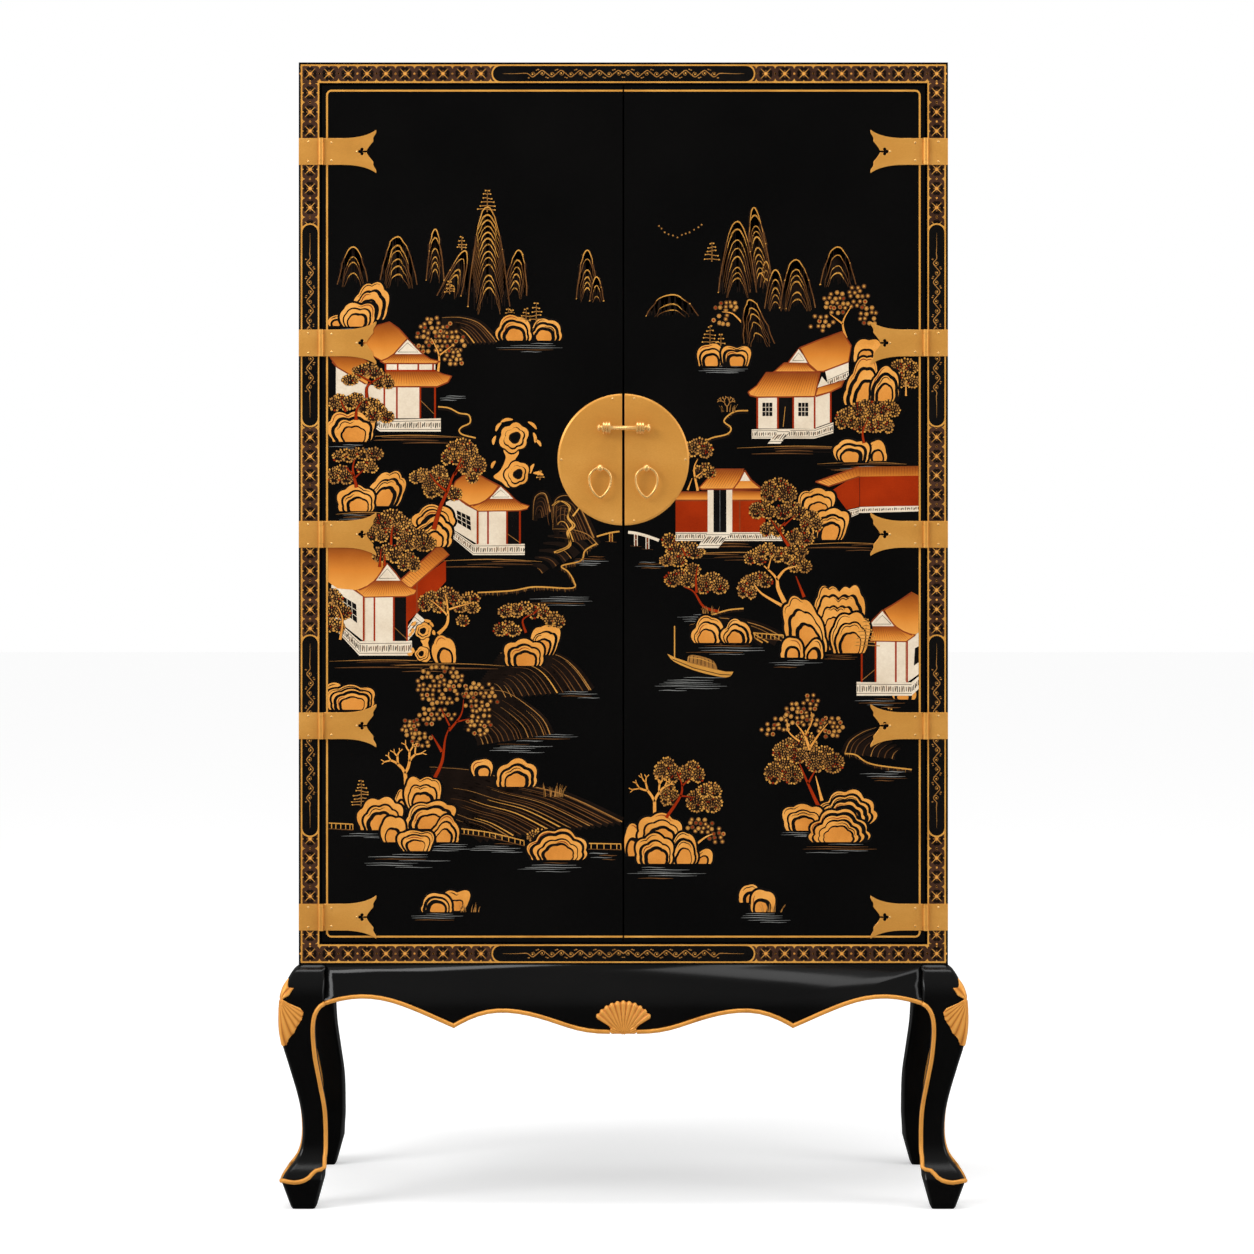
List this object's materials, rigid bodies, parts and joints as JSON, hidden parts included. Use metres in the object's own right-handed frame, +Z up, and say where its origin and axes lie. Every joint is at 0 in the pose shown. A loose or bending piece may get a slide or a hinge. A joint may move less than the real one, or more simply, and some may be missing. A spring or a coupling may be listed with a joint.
{
  "type": "lacquer cabinet",
  "caption": "Tall two-door black lacquer cabinet with gilt landscape panels and brass strap hinges, on a cabriole-leg stand.",
  "frame": {"origin": "on the floor, under the middle of the cabinet's box", "axes": "+Z up, the doors face -Y, +X to the right as seen from the front"},
  "size_m": [1.0828, 0.5403, 1.8],
  "materials": {
    "lacquer": "black gloss lacquer on wood",
    "door_lacquer": "black gloss lacquer on wood, painted in gold",
    "inside_lacquer": "satin lacquer on wood",
    "bare_wood": "planed wood",
    "gilt": "carved wood with gold paint",
    "brass": "satin brass",
    "steel": "plain"
  },
  "bodies": {
    "root": {"apron_front": "lacquer", "apron_left": "lacquer", "apron_rear": "lacquer", "apron_right": "lacquer", "apron_shell": "gilt", "back_panel": "lacquer", "bead_front": "gilt", "bead_left": "gilt", "bead_right": "gilt", "block_screws": "steel", "bottom_panel": "lacquer", "corner_blocks": "bare_wood", "frame_leaves_left": "brass", "frame_leaves_right": "brass", "hinge_pins": "brass", "knee_leaf_left": "gilt", "knee_leaf_right": "gilt", "leaf_nails": "brass", "leg_front_left": "lacquer", "leg_front_right": "lacquer", "leg_rear_left": "lacquer", "leg_rear_right": "lacquer", "rail_bottom": "lacquer", "rail_top": "lacquer", "shelf_1": "inside_lacquer", "shelf_2": "inside_lacquer", "shelf_3": "inside_lacquer", "shelf_pegs": "brass", "side_left": "lacquer", "side_right": "lacquer", "stile_left": "lacquer", "stile_right": "lacquer", "stop_bottom": "inside_lacquer", "stop_top": "inside_lacquer", "top_panel": "lacquer"},
    "door_left": {"door_left": "door_lacquer", "door_nails_left": "brass", "lock_plate_left": "brass", "pull_post_left": "brass", "staple_left": "brass", "strap_left_1": "brass", "strap_left_2": "brass", "strap_left_3": "brass", "strap_left_4": "brass", "strap_left_5": "brass"},
    "ring_left": {"pull_ring_left": "brass"},
    "door_right": {"door_nails_right": "brass", "door_right": "door_lacquer", "lock_plate_right": "brass", "pull_post_right": "brass", "staple_right": "brass", "strap_right_1": "brass", "strap_right_2": "brass", "strap_right_3": "brass", "strap_right_4": "brass", "strap_right_5": "brass"},
    "ring_right": {"pull_ring_right": "brass"},
    "bolt": {"bolt": "brass"}
  },
  "joints": [
    {"name": "door_left_swing", "type": "hinge", "parent": "root", "child": "door_left", "pos_m": [-0.475, -0.24445, 1.05], "axis": [0, 0, -1], "range_deg": [0, 170]},
    {"name": "door_right_swing", "type": "hinge", "parent": "root", "child": "door_right", "pos_m": [0.475, -0.24445, 1.05], "axis": [0, 0, 1], "range_deg": [0, 170]},
    {"name": "bolt_slide", "type": "slide", "parent": "door_right", "child": "bolt", "axis": [1, 0, 0], "range_m": [0, 0.0425]},
    {"name": "ring_left_swing", "type": "hinge", "parent": "door_left", "child": "ring_left", "pos_m": [-0.0365, -0.2515, 1.1625], "axis": [-1, 0, 0], "range_deg": [-8, 150]},
    {"name": "ring_right_swing", "type": "hinge", "parent": "door_right", "child": "ring_right", "pos_m": [0.0365, -0.2515, 1.1625], "axis": [-1, 0, 0], "range_deg": [-8, 150]}
  ]
}
